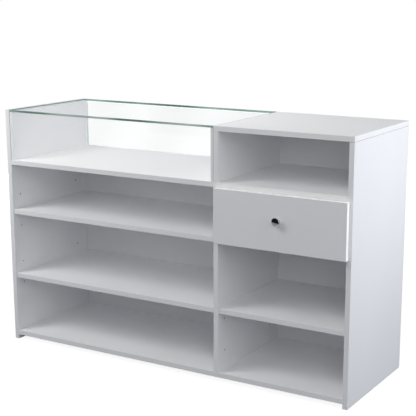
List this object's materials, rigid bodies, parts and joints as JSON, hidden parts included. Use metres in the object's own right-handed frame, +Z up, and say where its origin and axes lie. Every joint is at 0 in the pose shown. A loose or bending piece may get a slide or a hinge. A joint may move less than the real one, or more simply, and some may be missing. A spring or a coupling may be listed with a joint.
{
  "type": "display counter",
  "caption": "Shop display counter of white board with a glass-topped showcase, open shelves on pins, and a drawer that slides on roller runners.",
  "frame": {"origin": "on the floor, under the middle of the counter's outline with the drawer shut", "axes": "+X along the counter from the showcase to the drawer, -Y towards the open staff side, +Z up"},
  "size_m": [1.5, 0.529, 0.95],
  "materials": {
    "white_melamine": "white melamine-faced chipboard with a satin pearl texture and white edge bands",
    "drawer_foil": "thin board wrapped in white foil",
    "float_glass": "clear float glass with polished green edges",
    "polished_chrome": "polished chrome plating",
    "epoxy_steel": "white epoxy-coated rolled steel",
    "zinc_steel": "bright zinc-plated steel",
    "nylon": "natural nylon",
    "clear_rubber": "translucent soft dots"
  },
  "bodies": {
    "carcass": {"left_side_panel": "white_melamine", "right_side_panel": "white_melamine", "bottom_panel": "white_melamine", "deck_panel": "white_melamine", "lower_divider": "white_melamine", "upper_divider": "white_melamine", "top_panel": "white_melamine", "lower_back_panel": "white_melamine", "upper_back_panel": "white_melamine", "showcase_lining_left": "white_melamine", "showcase_lining_right": "white_melamine", "glass_top": "float_glass", "glass_rear": "float_glass", "left_upper_shelf": "white_melamine", "left_lower_shelf": "white_melamine", "right_shelf": "white_melamine", "left_upper_shelf_pin_front_left": "zinc_steel", "left_upper_shelf_pin_front_right": "zinc_steel", "left_upper_shelf_pin_rear_left": "zinc_steel", "left_upper_shelf_pin_rear_right": "zinc_steel", "left_lower_shelf_pin_front_left": "zinc_steel", "left_lower_shelf_pin_front_right": "zinc_steel", "left_lower_shelf_pin_rear_left": "zinc_steel", "left_lower_shelf_pin_rear_right": "zinc_steel", "right_shelf_pin_front_left": "zinc_steel", "right_shelf_pin_front_right": "zinc_steel", "right_shelf_pin_rear_left": "zinc_steel", "right_shelf_pin_rear_right": "zinc_steel", "cabinet_runner_left": "epoxy_steel", "cabinet_runner_right": "epoxy_steel", "front_roller_axle_left": "zinc_steel", "front_roller_axle_right": "zinc_steel"},
    "drawer": {"drawer_front": "white_melamine", "drawer_box_front": "drawer_foil", "drawer_box_back": "drawer_foil", "drawer_side_left": "drawer_foil", "drawer_side_right": "drawer_foil", "drawer_bottom": "drawer_foil", "drawer_knob": "polished_chrome", "knob_screw": "zinc_steel", "drawer_bumper_left": "clear_rubber", "drawer_bumper_right": "clear_rubber", "drawer_runner_left": "epoxy_steel", "drawer_runner_right": "epoxy_steel", "rear_roller_axle_left": "zinc_steel", "rear_roller_axle_right": "zinc_steel"},
    "front_roller_left": {"front_roller_left": "nylon"},
    "front_roller_right": {"front_roller_right": "nylon"},
    "rear_roller_left": {"rear_roller_left": "nylon"},
    "rear_roller_right": {"rear_roller_right": "nylon"}
  },
  "joints": [
    {"name": "drawer_slide", "type": "slide", "parent": "carcass", "child": "drawer", "axis": [0, -1, 0], "range_m": [0, 0.324]},
    {"name": "front_roller_left_spin", "type": "hinge", "parent": "carcass", "child": "front_roller_left", "pos_m": [0.2357, -0.2035, 0.5574], "axis": [1, 0, 0], "range_deg": [0, 1960]},
    {"name": "front_roller_right_spin", "type": "hinge", "parent": "carcass", "child": "front_roller_right", "pos_m": [0.7263, -0.2035, 0.5574], "axis": [1, 0, 0], "range_deg": [0, 1960]},
    {"name": "rear_roller_left_spin", "type": "hinge", "parent": "drawer", "child": "rear_roller_left", "pos_m": [0.237, 0.2005, 0.555], "axis": [1, 0, 0], "range_deg": [0, 1960]},
    {"name": "rear_roller_right_spin", "type": "hinge", "parent": "drawer", "child": "rear_roller_right", "pos_m": [0.725, 0.2005, 0.555], "axis": [1, 0, 0], "range_deg": [0, 1960]}
  ],
  "couplings": [
    {"joint": "front_roller_left_spin", "follows": "drawer_slide", "rad_per_m": 105.26},
    {"joint": "front_roller_right_spin", "follows": "drawer_slide", "rad_per_m": 105.26},
    {"joint": "rear_roller_left_spin", "follows": "drawer_slide", "rad_per_m": 105.26},
    {"joint": "rear_roller_right_spin", "follows": "drawer_slide", "rad_per_m": 105.26}
  ]
}
